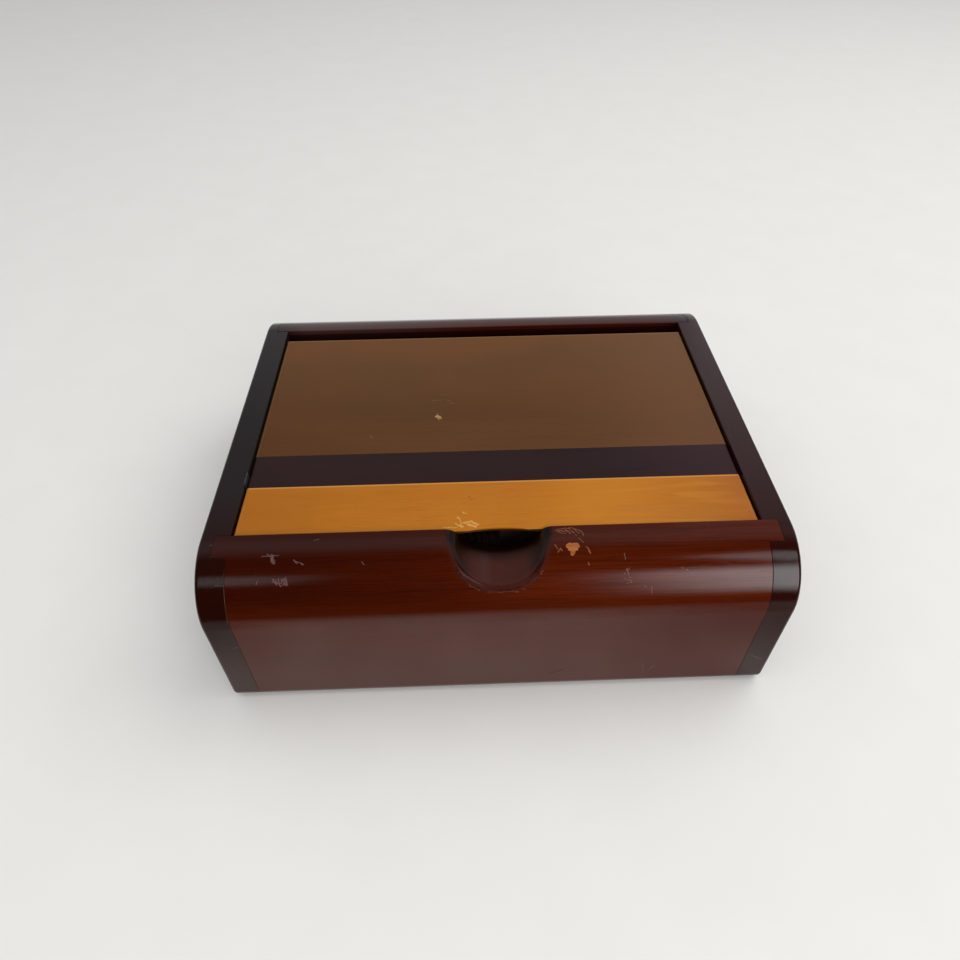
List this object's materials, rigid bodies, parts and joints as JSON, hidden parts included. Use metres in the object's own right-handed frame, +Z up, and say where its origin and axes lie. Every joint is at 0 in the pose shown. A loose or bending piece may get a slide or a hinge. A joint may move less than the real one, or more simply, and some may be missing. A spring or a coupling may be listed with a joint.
{
  "type": "wooden puzzle box",
  "caption": "Low lidded wooden box with rounded long edges, a finger notch in the front, a lid of striped woods on hidden pins, and a concealed sliding lock bolt.",
  "frame": {"origin": "centre of the footprint, on the surface that the box stands on", "axes": "+X to the right seen from the front, +Y to the rear (the hinge side), +Z up"},
  "size_m": [0.2, 0.169, 0.067],
  "materials": {
    "dark_wood": "dark stained hardwood under clear gloss lacquer",
    "red_wood": "reddish mahogany-like hardwood under clear gloss lacquer",
    "walnut": "walnut-like board under satin lacquer",
    "maple": "honey-stained maple-like board under satin lacquer",
    "plywood": "bare plywood",
    "spline_wood": "bare birch strip",
    "bolt_wood": "dark waxed hardwood",
    "felt": "wine-red felt",
    "brass": "plain brass"
  },
  "bodies": {
    "box": {"left_end_panel": "dark_wood", "right_end_panel": "dark_wood", "front_board": "red_wood", "rear_board": "red_wood", "base_panel": "plywood", "base_felt": "felt", "left_lining": "felt", "right_lining": "felt", "front_lining": "felt", "rear_lining": "felt", "left_hinge_pin": "brass", "right_hinge_pin": "brass", "hinge_washers": "brass", "bolt_screws": "brass"},
    "lid": {"lid_walnut_board": "walnut", "lid_dark_strip": "dark_wood", "lid_maple_board": "maple", "rear_lid_spline": "spline_wood", "front_lid_spline": "spline_wood", "lid_pad": "felt", "lid_hook": "bolt_wood", "hook_screws": "brass"},
    "bolt": {"lock_bolt": "bolt_wood"}
  },
  "joints": [
    {"name": "lid_hinge", "type": "hinge", "parent": "box", "child": "lid", "pos_m": [0, 0.0514, 0.0618], "axis": [-1, 0, 0], "range_deg": [0, 130]},
    {"name": "bolt_slide", "type": "slide", "parent": "box", "child": "bolt", "axis": [1, 0, 0], "range_m": [0, 0.012]}
  ]
}
